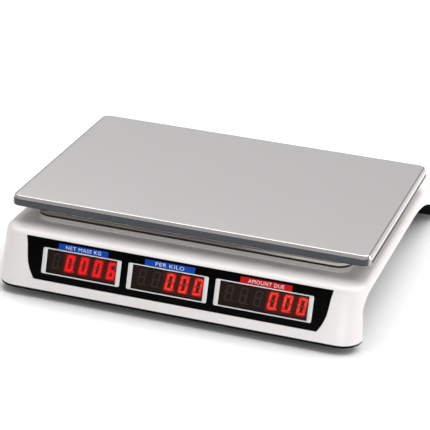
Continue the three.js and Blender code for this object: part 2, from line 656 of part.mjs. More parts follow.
function addInside() {
  const z = FLOOR_Z + TRAY_T + GAP;
  const cell = block(BATTERY.w, BATTERY.d, BATTERY.h, BATTERY.x, BATTERY.y, z);
  const tabZ = z + BATTERY.h - SEAT;
  const posts = [-1, 1].map((side) => (
    block(...BATTERY.tab, BATTERY.x + side * BATTERY.tabX, BATTERY.y, tabZ)));
  piece('battery', union([cell, ...posts]), 'battery');
  piece('main_board', boardSolid(), 'board');
  piece('battery_door', block(DOOR.w, DOOR.d, TRAY_T, BATTERY.x, BATTERY.y, FLOOR_Z), 'black');
  const { r, depth, rise, chamfer } = VIAL;
  const profile = [[0, -depth], [r, -depth], [r, rise - chamfer], [r - chamfer, rise], [0, rise]];
  piece('level_vial', turned(profile), 'vial').position.set(VIAL.x, VIAL.y, DECK_Z);
}

function addFeetAndScrews() {
  const names = ['front_left', 'front_right', 'rear_left', 'rear_right'];
  const profile = [
    [0, 0], [FOOT_R - FOOT_EDGE, 0], [FOOT_R, FOOT_EDGE], [FOOT_R, FOOT_H - 1.1],
    [FOOT_R - 0.8, FOOT_H - 0.3], [STUD_R, FOOT_H], [STUD_R, STUD_TOP - 1], [0, STUD_TOP],
  ];
  footPlaces.forEach(([x, y], i) => {
    piece(`foot_${names[i]}`, turned(profile), 'rubber').position.set(x, y, 0);
  });
  screwPlaces.forEach(([x, y], i) => {
    const solid = boltSolid(SCREW.r, SCREW.headR, SCREW.headH, SCREW.length);
    const screw = piece(`cover_screw_${names[i]}`, solid, 'bolt');
    screw.rotation.x = Math.PI;
    screw.position.set(x, y, FLOOR_Z - GAP);
  });
}

piece('housing_cover', coverSolid(), 'white');
piece('base_tray', traySolid(), 'black');
addScalePan();
addCustomerDisplay();
addConsole();
addRearSockets();
addInside();
addFeetAndScrews();

export default group;
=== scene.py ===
"""Looks of the price-computing counting scale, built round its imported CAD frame. Metres, +Z up."""
import json
import math

import bmesh
import bpy
from mathutils import Matrix, Vector


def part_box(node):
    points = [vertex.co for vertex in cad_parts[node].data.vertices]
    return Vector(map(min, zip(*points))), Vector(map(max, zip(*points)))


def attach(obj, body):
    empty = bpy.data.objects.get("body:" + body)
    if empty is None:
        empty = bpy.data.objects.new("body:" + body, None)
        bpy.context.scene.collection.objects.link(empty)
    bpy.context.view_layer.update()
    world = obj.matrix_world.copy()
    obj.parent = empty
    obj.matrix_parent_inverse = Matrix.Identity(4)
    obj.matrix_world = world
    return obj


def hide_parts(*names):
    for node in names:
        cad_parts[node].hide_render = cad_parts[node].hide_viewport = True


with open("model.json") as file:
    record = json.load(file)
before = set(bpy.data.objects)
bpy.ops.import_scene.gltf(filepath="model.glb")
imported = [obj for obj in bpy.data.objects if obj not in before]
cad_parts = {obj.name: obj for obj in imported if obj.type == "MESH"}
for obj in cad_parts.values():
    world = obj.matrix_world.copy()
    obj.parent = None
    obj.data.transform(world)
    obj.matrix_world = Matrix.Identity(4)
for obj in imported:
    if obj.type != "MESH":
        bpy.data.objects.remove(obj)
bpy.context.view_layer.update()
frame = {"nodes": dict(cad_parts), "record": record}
body_of = {node: body for body, nodes in frame["record"]["behaviour"]["bodies"].items() for node in nodes}

MM = 0.001
PANEL_THICK = 2 * MM
FACE_LEAN = math.radians(14.5)  # customer face, leaning back
SLOPE = math.radians(27.5)  # operator's console, falling towards the operator
FACE_ORIGIN = (0, -0.1775, 0.0065)  # lower edge of the customer face
CONSOLE_ORIGIN = (0, 0.103, 0.074)  # upper edge of the console
FACE = Matrix.Translation(FACE_ORIGIN) @ Matrix.Rotation(math.pi / 2 - FACE_LEAN, 4, "X")
CONSOLE = (Matrix.Translation(CONSOLE_ORIGIN) @ Matrix.Rotation(-SLOPE, 4, "X")
           @ Matrix.Rotation(math.pi, 4, "Z"))

CAMERA_PLACE = (0.469, -1.577, 0.747)
CAMERA_ANGLES = (-17.1, 23.43, 2.86)  # yaw, pitch below level, roll; degrees
CAMERA_LENS = 154.8
CAMERA_SENSOR = 36
CAMERA_SHIFT = -0.0035
CAMERA_REACH = 50
LIGHTS = (  # name, place, target, size, watts
    ("overhead_softbox", (0.18, 0.58, 1.9), (0, 0, 0), (3.6, 1.7), 56),
    ("front_softbox", (0.8, -3.2, 0.32), (0, 0, 0.05), (2.0, 0.55), 37),
    ("right_softbox", (2.4, 0.5, 1.0), (0.2, 0.1, 0), (0.8, 1.4), 7.5),
)
WALL_LIGHT = (0.02, 0.71, -0.9, 0.6)  # two strengths, and the Y of the directions that have them
CEILING_LIGHT = (0, 0.4, 0.16, 0.55)  # the same for Z
FLOOR_HALF = 6


# ---------------------------------------------------------------- camera and studio
def make_camera():
    """Long lens, in front and to the right of the customer side."""
    yaw, pitch, roll = (math.radians(a) for a in CAMERA_ANGLES)
    forward = Vector((math.sin(yaw) * math.cos(pitch), math.cos(yaw) * math.cos(pitch),
                      -math.sin(pitch)))
    level = Vector((math.cos(yaw), -math.sin(yaw), 0))
    upright = level.cross(forward)
    right = level * math.cos(roll) + upright * math.sin(roll)
    up = upright * math.cos(roll) - level * math.sin(roll)
    camera = bpy.data.objects.new("camera", bpy.data.cameras.new("camera"))
    turn = Matrix((right, up, -forward)).transposed().to_4x4()
    camera.matrix_world = Matrix.Translation(CAMERA_PLACE) @ turn
    camera.data.lens = CAMERA_LENS
    camera.data.sensor_width = CAMERA_SENSOR
    camera.data.shift_x = CAMERA_SHIFT
    camera.data.clip_end = CAMERA_REACH
    bpy.context.scene.collection.objects.link(camera)
    bpy.context.scene.camera = camera


def area_light(name, place, target, size, power):
    light = bpy.data.lights.new(name, "AREA")
    light.shape = "RECTANGLE"
    light.size, light.size_y = size
    light.energy = power
    lamp = bpy.data.objects.new(name, light)
    lamp.location = place
    lamp.rotation_euler = (Vector(target) - Vector(place)).to_track_quat("-Z", "Y").to_euler()
    bpy.context.scene.collection.objects.link(lamp)


def make_studio():
    """Three softboxes in a plain room that is bright overhead and dark on the customer side."""
    for light in LIGHTS:
        area_light(*light)
    world = bpy.data.worlds.new("studio")
    bpy.context.scene.world = world
    world.use_nodes = True
    nodes, links = world.node_tree.nodes, world.node_tree.links
    direction = nodes.new("ShaderNodeTexCoord")
    split = nodes.new("ShaderNodeSeparateXYZ")
    links.new(direction.outputs["Generated"], split.inputs[0])
    wall = spread(nodes, links, split.outputs["Y"], *WALL_LIGHT)
    ceiling = spread(nodes, links, split.outputs["Z"], *CEILING_LIGHT)
    strength = arithmetic(nodes, links, "MAXIMUM", wall, ceiling)
    nodes["Background"].inputs["Color"].default_value = (1, 1, 1, 1)
    links.new(strength, nodes["Background"].inputs["Strength"])
    bpy.context.scene.view_settings.view_transform = "Standard"


def make_floor():
    mesh = bpy.data.meshes.new("floor")
    corners = [(x * FLOOR_HALF, y * FLOOR_HALF, 0) for x, y in ((-1, -1), (1, -1), (1, 1), (-1, 1))]
    mesh.from_pydata(corners, [], [(0, 1, 2, 3)])
    floor = bpy.data.objects.new("floor", mesh)
    bpy.context.scene.collection.objects.link(floor)
    paper = plastic("floor_paper", (0.97, 0.97, 0.97), 0.8, grain=40, bump=0.02, drift=0.002)
    floor.data.materials.append(paper)


# ---------------------------------------------------------------- materials
def new_material(name):
    material = bpy.data.materials.new(name)
    material.use_nodes = True
    nodes = material.node_tree.nodes
    return material, nodes, material.node_tree.links, nodes["Principled BSDF"]


def noise(nodes, links, scale, detail=3.0, stretch=(1, 1, 1)):
    """Fractal noise in the piece's own coordinates."""
    coordinates = nodes.new("ShaderNodeTexCoord")
    mapping = nodes.new("ShaderNodeMapping")
    mapping.inputs["Scale"].default_value = stretch
    texture = nodes.new("ShaderNodeTexNoise")
    texture.inputs["Scale"].default_value = scale
    texture.inputs["Detail"].default_value = detail
    links.new(coordinates.outputs["Object"], mapping.inputs["Vector"])
    links.new(mapping.outputs["Vector"], texture.inputs["Vector"])
    return texture.outputs["Fac"]


def spread(nodes, links, value, low, high, start=0.0, end=1.0):
    """Maps start to end onto low to high."""
    node = nodes.new("ShaderNodeMapRange")
    node.inputs["From Min"].default_value = start
    node.inputs["From Max"].default_value = end
    node.inputs["To Min"].default_value = low
    node.inputs["To Max"].default_value = high
    links.new(value, node.inputs["Value"])
    return node.outputs[0]


def arithmetic(nodes, links, kind, first, second=0.0):
    """Math node on two values, each a number or a socket."""
    node = nodes.new("ShaderNodeMath")
    node.operation = kind
    for socket, value in ((node.inputs[0], first), (node.inputs[1], second)):
        if isinstance(value, (int, float)):
            socket.default_value = value
        else:
            links.new(value, socket)
    return node.outputs[0]


def own_axes(nodes, links):
    """X, Y and Z sockets of the piece's own coordinates, in metres."""
    coordinates = nodes.new("ShaderNodeTexCoord")
    split = nodes.new("ShaderNodeSeparateXYZ")
    links.new(coordinates.outputs["Object"], split.inputs[0])
    return split.outputs["X"], split.outputs["Y"], split.outputs["Z"]


def blend_colours(nodes, links, factor, first, second):
    mix = nodes.new("ShaderNodeMix")
    mix.data_type = "RGBA"
    for socket, colour in ((mix.inputs[6], first), (mix.inputs[7], second)):
        if isinstance(colour, tuple):
            socket.default_value = (*colour, 1)
        else:
            links.new(colour, socket)
    links.new(factor, mix.inputs[0])
    return mix.outputs[2]


def mottled(nodes, links, shader, colour, scale, amount):
    """Base colour that drifts a little across the surface."""
    darker = tuple(c * (1 - amount) for c in colour)
    lighter = tuple(min(1, c * (1 + amount)) for c in colour)
    mixed = blend_colours(nodes, links, noise(nodes, links, scale), darker, lighter)
    links.new(mixed, shader.inputs["Base Color"])


def add_bump(nodes, links, shader, height, strength, distance):
    bump = nodes.new("ShaderNodeBump")
    bump.inputs["Strength"].default_value = strength
    bump.inputs["Distance"].default_value = distance
    links.new(height, bump.inputs["Height"])
    links.new(bump.outputs[0], shader.inputs["Normal"])


def plastic(name, colour, roughness, grain=1500, bump=0.12, drift=0.03, shine=0.5):
    """Moulded surface: fine grain, faint colour drift and uneven gloss."""
    material, nodes, links, shader = new_material(name)
    shader.inputs["Specular IOR Level"].default_value = shine
    mottled(nodes, links, shader, colour, 14, drift)
    uneven = spread(nodes, links, noise(nodes, links, 60), roughness * 0.88, roughness * 1.12)
    links.new(uneven, shader.inputs["Roughness"])
    add_bump(nodes, links, shader, noise(nodes, links, grain), bump, 0.05 * MM)
    return material


def brushed_metal(name, colour, roughness, stretch, drift):
    """Satin sheet metal: long fine brush lines and faint smudges."""
    material, nodes, links, shader = new_material(name)
    shader.inputs["Metallic"].default_value = 1
    mottled(nodes, links, shader, colour, 9, drift)
    lines = noise(nodes, links, 900, 4, stretch)
    links.new(spread(nodes, links, lines, roughness * 0.85, roughness * 1.15), shader.inputs["Roughness"])
    add_bump(nodes, links, shader, lines, 0.1, 0.02 * MM)
    return material


def glow(name, core, edge):
    """Lit display segment: the light is a little uneven along the bar."""
    material, nodes, links, shader = new_material(name)
    shader.inputs["Base Color"].default_value = (0.02, 0.001, 0.001, 1)
    shader.inputs["Roughness"].default_value = 0.6
    shader.inputs["Specular IOR Level"].default_value = 0.1
    patchy = noise(nodes, links, 420, 2)
    links.new(blend_colours(nodes, links, spread(nodes, links, patchy, 0, 1, 0.35, 0.65), edge, core),
              shader.inputs["Emission Color"])
    links.new(spread(nodes, links, patchy, 0.9, 1.1), shader.inputs["Emission Strength"])
    return material


# Painted glow: the red light of the lit digits, painted as emission on the dark surfaces round them.
GLOW_SPILL_REACH = 5 * MM
GLOW_SPILL_RED = (1.0, 0.045, 0.03, 1)


def spilled_glow(name, colour, drift, strength, place, lit_span, middle, half):
    """Dark display surface with a painted red glow, the light of the lit digits, that fades away from them.

    The digits fill lit_span across and middle - half to middle + half upwards, in the coordinates of place.
    """
    material, nodes, links, shader = new_material(name)
    mottled(nodes, links, shader, colour, 90, drift)
    shader.inputs["Roughness"].default_value = 0.5
    shader.inputs["Specular IOR Level"].default_value = 0.12
    coordinates = nodes.new("ShaderNodeTexCoord")

    def value_of(kind, first, second=0.0):
        return arithmetic(nodes, links, kind, first, second)

    def along(axis):
        """Distance from the origin of place along one of its axes."""
        node = nodes.new("ShaderNodeVectorMath")
        node.operation = "DOT_PRODUCT"
        links.new(coordinates.outputs["Object"], node.inputs[0])
        node.inputs[1].default_value = axis
        return value_of("SUBTRACT", node.outputs["Value"], axis.dot(place.translation))

    def beyond(value, centre, reach):
        """How far a value lies outside centre - reach to centre + reach."""
        offset = value_of("ABSOLUTE", value_of("SUBTRACT", value, centre))
        return value_of("MAXIMUM", value_of("SUBTRACT", offset, reach))

    x_axis, y_axis = place.col[0].to_3d(), place.col[1].to_3d()
    dx = beyond(along(x_axis), sum(lit_span) / 2, (lit_span[1] - lit_span[0]) / 2)
    dy = beyond(along(y_axis), middle, half)
    squares = value_of("ADD", value_of("MULTIPLY", dx, dx), value_of("MULTIPLY", dy, dy))
    # Painted glow: emission that fades with distance from the lit digits.
    fade = spread(nodes, links, value_of("SQRT", squares), 1, 0, 0, GLOW_SPILL_REACH)
    fade = value_of("MULTIPLY", fade, fade)
    patchy = spread(nodes, links, noise(nodes, links, 160), strength * 0.8, strength * 1.2)
    shader.inputs["Emission Color"].default_value = GLOW_SPILL_RED
    links.new(value_of("MULTIPLY", fade, patchy), shader.inputs["Emission Strength"])
    return material


# ---------------------------------------------------------------- meshes
def add_object(name, mesh, body, material, replaced=()):
    """Puts a piece into the scene, ties it to its body and hides the CAD nodes it replaces."""
    piece = bpy.data.objects.new(name, mesh)
    bpy.context.scene.collection.objects.link(piece)
    mesh.materials.clear()
    mesh.materials.append(material)
    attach(piece, body)
    if replaced:
        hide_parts(*replaced)
    return piece


def mesh_from(name, points, faces, transform=None, smooth=None):
    mesh = bpy.data.meshes.new(name)
    mesh.from_pydata([tuple(p) for p in points], [], [tuple(f) for f in faces])
    if transform is not None:
        mesh.transform(transform)
    work = bmesh.new()
    work.from_mesh(mesh)
    bmesh.ops.remove_doubles(work, verts=work.verts, dist=0.002 * MM)
    bmesh.ops.recalc_face_normals(work, faces=work.faces)
    work.to_mesh(mesh)
    work.free()
    if smooth is not None:
        mesh.shade_smooth()
        mesh.set_sharp_from_angle(angle=math.radians(smooth))
    return mesh


def join(parts):
    """Merges (points, faces) lists into one."""
    points, faces = [], []
    for more, rings in parts:
        base = len(points)
        points += list(more)
        faces += [tuple(base + k for k in ring) for ring in rings]
    return points, faces


def loft(sections, close=True):
    """Skins equal-length closed rings of 3-D points; the ends are capped when close is set."""
    n = len(sections[0])
    points = [p for ring in sections for p in ring]
    faces = []
    for level in range(len(sections) - 1):
        a, b = level * n, (level + 1) * n
        faces += [(a + k, a + (k + 1) % n, b + (k + 1) % n, b + k) for k in range(n)]
    if close:
        faces += [tuple(range(n))[::-1], tuple((len(sections) - 1) * n + k for k in range(n))]
    return points, faces


def closed_tube(rings):
    """Skins closed rings and joins the last one to the first, as in a frame or a gasket."""
    points, faces = loft(rings, close=False)
    n = len(rings[0])
    last = (len(rings) - 1) * n
    faces += [(last + k, last + (k + 1) % n, (k + 1) % n, k) for k in range(n)]
    return points, faces


def round_rect(x0, x1, y0, y1, radius, steps):
    """Anticlockwise outline; with radius near zero the corners still have steps + 1 points each."""
    outline = []
    radius = max(radius, 0.0001 * MM)
    for cx, cy, start in ((x1 - radius, y0 + radius, -90), (x1 - radius, y1 - radius, 0),
                          (x0 + radius, y1 - radius, 90), (x0 + radius, y0 + radius, 180)):
        for k in range(steps + 1):
            a = math.radians(start + 90 * k / steps)
            outline.append((cx + radius * math.cos(a), cy + radius * math.sin(a)))
    return outline


def at_height(outline, z):
    return [(x, y, z) for x, y in outline]


def refine(node, material, bevel, angle=32):
    """The CAD node's own shape with its edges eased by bevel mm, as a piece that stands for it."""
    source = frame["nodes"][node]
    points = [v.co.copy() for v in source.data.vertices]
    faces = [tuple(p.vertices) for p in source.data.polygons]
    mesh = bpy.data.meshes.new(node + "_look")
    mesh.from_pydata(points, [], faces)
    work = bmesh.new()
    work.from_mesh(mesh)
    bmesh.ops.remove_doubles(work, verts=work.verts, dist=0.003 * MM)
    bmesh.ops.dissolve_limit(work, angle_limit=math.radians(0.6), verts=work.verts, edges=work.edges)
    work.to_mesh(mesh)
    work.free()
    mesh.shade_smooth()
    mesh.set_sharp_from_angle(angle=math.radians(angle))
    piece = add_object(node + "_look", mesh, body_of[node], material, [node])
    if bevel:
        modifier = piece.modifiers.new("eased_edges", "BEVEL")
        modifier.width = bevel * MM
        modifier.segments = 3
        modifier.limit_method = "ANGLE"
        modifier.angle_limit = math.radians(angle)
        modifier.use_clamp_overlap = True


def circuit_board():
    """Green solder mask over a raised net of copper tracks and pads."""
    material, nodes, links, shader = new_material("solder_mask")
    coordinates = nodes.new("ShaderNodeTexCoord")
    cells = nodes.new("ShaderNodeTexVoronoi")
    cells.distance = "CHEBYCHEV"
    cells.inputs["Scale"].default_value = 260
    links.new(coordinates.outputs["Object"], cells.inputs["Vector"])
    tracks = spread(nodes, links, cells.outputs["Distance"], 0, 1, 0.28, 0.34)
    links.new(blend_colours(nodes, links, tracks, (0.012, 0.09, 0.03), (0.03, 0.18, 0.06)),
              shader.inputs["Base Color"])
    shader.inputs["Roughness"].default_value = 0.35
    add_bump(nodes, links, shader, tracks, 0.3, 0.05 * MM)
    return material


PAINTED_LIGHT_SPAN = (45 * MM, 105 * MM)  # X where the dust seal lip turns from painted shade to painted light
# Painted shade on most of the lip, and the painted light it turns to towards +X.
SEAL_PAINTED_SHADE = ((0.15, 0.13, 0.115), (0.185, 0.165, 0.145))
SEAL_PAINTED_LIGHT = (0.62, 0.58, 0.54)


def painted_shade_seal():
    """Beige lip of the dust seal: painted shade makes it dark and uneven, and painted light makes it paler
    towards +X.
    """
    material, nodes, links, shader = new_material("seal_lip_painted_shade")
    x, _, _ = own_axes(nodes, links)
    # Painted light: the lip turns pale towards +X.
    paler = spread(nodes, links, x, 0, 1, *PAINTED_LIGHT_SPAN)
    dark = blend_colours(nodes, links, noise(nodes, links, 30), *SEAL_PAINTED_SHADE)
    links.new(blend_colours(nodes, links, paler, dark, SEAL_PAINTED_LIGHT), shader.inputs["Base Color"])
    shader.inputs["Roughness"].default_value = 0.6
    add_bump(nodes, links, shader, noise(nodes, links, 1200), 0.1, 0.05 * MM)
    return material


WHITE = (0.77, 0.745, 0.725)
# Painted shade: the white of the plinth's low walls under the pan.
WHITE_PAINTED_SHADE = (0.52, 0.495, 0.475)


def cover_plastic():
    """White moulding, with painted shade on the low walls of the plinth under the pan."""
    material = plastic("white_cover", WHITE, 0.36)
    nodes, links = material.node_tree.nodes, material.node_tree.links
    shader = nodes["Principled BSDF"]
    clean = shader.inputs["Base Color"].links[0].from_socket
    x, y, z = own_axes(nodes, links)
    away = arithmetic(nodes, links, "ABSOLUTE", x)
    plinth_shade = None
    # Painted shade: inside the plinth's footprint, from just above the deck up to 66 mm.
    for value, none, full in ((away, 152, 150.5), (y, -137.5, -136), (y, 80, 79), (z, 66, 63), (z, 58.3, 58.9)):
        part = spread(nodes, links, value, 0, 1, none * MM, full * MM)
        plinth_shade = part if plinth_shade is None else arithmetic(nodes, links, "MULTIPLY", plinth_shade, part)
    links.new(blend_colours(nodes, links, plinth_shade, clean, WHITE_PAINTED_SHADE), shader.inputs["Base Color"])
    return material


# ---------------------------------------------------------------- weighing pan
STEEL = ((0.60, 0.59, 0.585), (0.625, 0.615, 0.61))
STEEL_PAINTED_HIGHLIGHT = (0.80, 0.765, 0.75)  # painted highlight: the top face and the crown of the bead, brighter than the rim below
# Painted dark reflection: a thin line along the crown of the side beads.
STEEL_PAINTED_DARK_LINE = (0.16, 0.15, 0.145)
# Painted reflection: the slate-dark front rim.
SLATE_PAINTED_REFLECTION = ((0.052, 0.056, 0.064), (0.075, 0.08, 0.09))
# Painted shade: black low on the side rims, where the gap under the pan is dark.
HEM_PAINTED_SHADE = (0.012, 0.011, 0.01)


def pan_metal():
    """Satin stainless, with painted light: a slate-dark painted reflection on the front rim under a painted
    highlight on the bead's crown and the top face, and on the side rims a painted dark line along the crown and
    black painted shade low down.
    """
    material, nodes, links, shader = new_material("satin_stainless")
    x, y, z = own_axes(nodes, links)
    low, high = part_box("weighing_pan")
    side, front, top = high[0], low[1], high[2]

    def mask(value, first, last, base, start, end):
        """Ramp from first to last between start and end, in mm from base."""
        return spread(nodes, links, value, first, last, base + start * MM, base + end * MM)

    def both(first, second):
        return arithmetic(nodes, links, "MULTIPLY", first, second)

    def blend(factor, first, second):
        return blend_colours(nodes, links, factor, first, second)

    away = arithmetic(nodes, links, "ABSOLUTE", x)
    # Painted reflection: dark slate on the front rim, below the bead.
    front_painted_reflection = both(mask(y, 1, 0, front, 1.5, 7), mask(z, 1, 0, top, -3.1, -2.7))
    side_rim = both(mask(away, 0, 1, side, -2.2, -1.9), mask(y, 0, 1, front, 4, 9))
    # Painted shade: black and not metallic on the lowest part of the side rims.
    hem = both(side_rim, mask(z, 1, 0, top, -4.9, -4.6))
    # Painted highlight: brighter steel on the top face and the crown of the bead.
    painted_highlight = mask(z, 1, 0, top, -0.5, -0.3)
    # Painted dark reflection: a thin line near the side edges, along the crown of the bead.
    painted_dark_line = both(mask(away, 0, 1, side, -3.5, -3.2), mask(away, 1, 0, side, -2.7, -2.4))
    bright = blend(painted_highlight, blend(noise(nodes, links, 9), *STEEL), STEEL_PAINTED_HIGHLIGHT)
    bright = blend(painted_dark_line, bright, STEEL_PAINTED_DARK_LINE)
    rimmed = blend(front_painted_reflection, bright, blend(noise(nodes, links, 22), *SLATE_PAINTED_REFLECTION))
    links.new(blend(hem, rimmed, HEM_PAINTED_SHADE), shader.inputs["Base Color"])
    links.new(spread(nodes, links, hem, 1, 0), shader.inputs["Metallic"])
    shader.inputs["Specular IOR Level"].default_value = 0.02  # the metal itself does not use it
    lines = noise(nodes, links, 900, 4, (1, 60, 60))
    links.new(spread(nodes, links, lines, 0.23, 0.29), shader.inputs["Roughness"])
    add_bump(nodes, links, shader, lines, 0.05, 0.01 * MM)
    return material


PAN_CORNER = 9 * MM
PAN_HEM = (  # inset and height above the foot, from the inside of the hem round to the rim's face; mm
    (1.7, 0.6), (1.6, 0.2), (1.3, 0.02), (0.9, 0.0), (0.45, 0.12), (0.15, 0.45), (0.0, 1.0), (0.0, 1.5))
PAN_INSIDE = (  # inset and depth below the top, from under the plate to the foot; mm
    (20.0, 1.2), (4.6, 1.2), (3.3, 1.5), (2.3, 2.2), (1.8, 3.2), (1.7, 5.0), (1.7, 8.9))
BEAD_LOWER, BEAD_UPPER = 1.0, 1.2  # radii, mm
BEAD_TILT = math.radians(32)  # of the flat band between the two radii
BEAD_FLAT = 2.7  # width of that band, mm


def build_pan(material):
    """Folded stainless pan: rounded bead along the top edge, upright rim, hemmed foot."""
    low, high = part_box("weighing_pan")
    x, y0, y1, top, foot = high[0], low[1], high[1], high[2], low[2]

    def outline(inset, z):
        radius = max(PAN_CORNER - inset, 1 * MM)
        return at_height(round_rect(-x + inset, x - inset, y0 + inset, y1 - inset, radius, 14), z)

    skin = [outline(inset * MM, foot + height * MM) for inset, height in PAN_HEM]
    depth = (BEAD_UPPER * (1 - math.sin(BEAD_TILT)) + BEAD_FLAT * math.cos(BEAD_TILT)
             + BEAD_LOWER * math.sin(BEAD_TILT))
    for k in range(6):
        a = BEAD_TILT * k / 5
        skin.append(outline(BEAD_LOWER * (1 - math.cos(a)) * MM, top - (depth - BEAD_LOWER * math.sin(a)) * MM))
    start = BEAD_LOWER * (1 - math.cos(BEAD_TILT)) + BEAD_FLAT * math.sin(BEAD_TILT)
    for k in range(9):
        a = BEAD_TILT + (math.pi / 2 - BEAD_TILT) * k / 8
        inset = start + BEAD_UPPER * (math.cos(BEAD_TILT) - math.cos(a))
        skin.append(outline(inset * MM, top - BEAD_UPPER * (1 - math.sin(a)) * MM))
    skin.append(outline(7 * MM, top))
    skin.append(outline(20 * MM, top))
    inner = [outline(inset * MM, top - below * MM) for inset, below in PAN_INSIDE]
    n = len(skin[0])
    points, faces = join([loft(skin, close=False), loft(inner, close=False)])
    base = len(skin) * n
    last = base + (len(inner) - 1) * n
    faces.append(tuple(base - n + k for k in range(n)))
    faces.append(tuple(base + k for k in range(n)))
    faces += [(last + k, last + (k + 1) % n, (k + 1) % n, k) for k in range(n)]
    mesh = mesh_from("pan_sheet", points, faces, smooth=35)
    add_object("pan_sheet", mesh, "pan", material, ["weighing_pan"])


PLINTH_HALF, PLINTH_FRONT, PLINTH_REAR, PLINTH_CORNER = 149.5, -134.5, 77.0, 14.0  # mm


def build_dust_seal(foam, lip):
    """Black foam strip in the groove round the plinth, painted shade for the dark gap there, and the rubber lip
    above it, with painted shade and light.
    """
    for name, outside, inside, z0, z1, material in (("dust_seal_foam", 0.25, 1.15, 62.25, 64.35, foam),
                                                    ("dust_seal_lip", -0.25, 0.9, 64.45, 66.9, lip)):
        rings = []
        for inset, z in ((inside, z0), (outside, z0), (outside, z1), (inside, z1)):
            outline = round_rect((-PLINTH_HALF + inset) * MM, (PLINTH_HALF - inset) * MM,
                                 (PLINTH_FRONT + inset) * MM, (PLINTH_REAR - inset) * MM,
                                 (PLINTH_CORNER - inset) * MM, 12)
            rings.append(at_height(outline, z * MM))
        add_object(name, mesh_from(name, *closed_tube(rings), smooth=30), "housing", material)


# ---------------------------------------------------------------- displays
LIT = {"0": "abcdef", "6": "acdefg", " ": ""}  # lit bars of each digit; the sizes below are in mm
CUSTOMER_DIGIT = {"wide": 7.6, "tall": 15.6, "bars": (2.6, 2.2, 2.2), "slant": 0.13, "dot": 1.5}
OPERATOR_DIGIT = {"wide": 6.8, "tall": 12.8, "bars": (2.0, 2.0, 2.0), "slant": 0.13, "dot": 1.3}
BAR_GAP = 0.1
BAR_CORNER = 0.9  # cut off the outer corners of a digit
BLOOM = 0.9  # how far the dim plate reaches round a lit bar
UNLIT_BAR = 1.5


def segment_shapes(wide, tall, bar):
    """Mitred outlines of the seven bars of a digit, in millimetres from its lower left corner."""
    g, half, mid, cut = BAR_GAP, bar / 2, tall / 2, BAR_CORNER
    top = [(g + cut, tall), (wide - g - cut, tall), (wide - g - cut / 2, tall - cut / 2),
           (wide - bar - g, tall - bar), (bar + g, tall - bar), (g + cut / 2, tall - cut / 2)]
    upper = [(wide, tall - g - cut), (wide, mid + g), (wide - half, mid + g),
             (wide - bar, mid + half + g), (wide - bar, tall - bar - g), (wide - cut / 2, tall - cut / 2 - g)]
    centre = [(half + g, mid), (bar + g, mid + half), (wide - bar - g, mid + half),
              (wide - half - g, mid), (wide - bar - g, mid - half), (bar + g, mid - half)]

    def across(shape):
        return [(wide - x, y) for x, y in shape]

    def down(shape):
        return [(x, tall - y) for x, y in shape]

    return {"a": top, "b": upper, "c": down(upper), "d": down(top), "e": down(across(upper)),
            "f": across(upper), "g": centre}


def lean(point, x, y, slant):
    """Digit coordinates to face coordinates in metres, slanted to the right."""
    return ((x + point[0] + slant * point[1]) * MM, (y + point[1]) * MM)


def digit_bars(x, y, letters, form, bar, grow=0.0):
    """Outlines of the given bars of a digit whose lower left corner is at x, y; grow widens every bar."""
    shapes = segment_shapes(form["wide"] + 2 * grow, form["tall"] + 2 * grow, bar + 2 * grow)
    return [[lean((px - grow, py - grow), x, y, form["slant"]) for px, py in shapes[letter]]
            for letter in letters]


def dot(x, y, form):
    """Decimal point to the lower right of the digit at x, y."""
    centre, r = form["wide"] + form["dot"] * 0.62, form["dot"] / 2
    ring = [(centre + r * math.cos(math.pi * k / 8), r + r * math.sin(math.pi * k / 8)) for k in range(16)]
    return [lean(p, x, y, form["slant"]) for p in ring]


def plates(outlines, z0, z1):
    """Flat plates with the given outlines, as one mesh."""
    return join([loft([at_height(o, z0), at_height(o, z1)]) for o in outlines])


FRAME_EDGE = 0.35 * MM  # easing of the frame's top edges, and the corner of its opening


def frame_ring(x0, x1, y0, y1, bars, radius, z0, z1):
    """Window frame: bars is (side, top and bottom) width; rounded outside, square inside, eased top edges."""
    side, flat = bars
    edge, steps = FRAME_EDGE, 8

    def ring(grow, z):
        return at_height(round_rect(x0 - grow, x1 + grow, y0 - grow, y1 + grow, radius + grow, steps), z)

    def hole(grow, z):
        return at_height(round_rect(x0 + side - grow, x1 - side + grow, y0 + flat - grow, y1 - flat + grow,
                                    FRAME_EDGE + max(grow, 0), steps), z)

    rings = [ring(0, z0), ring(0, z1 - edge), ring(-edge * 0.3, z1 - edge * 0.3), ring(-edge, z1),
             hole(edge, z1), hole(edge * 0.3, z1 - edge * 0.3), hole(0, z1 - edge), hole(0, z0)]
    return closed_tube(rings)


LETTER_THICK = 0.03 * MM


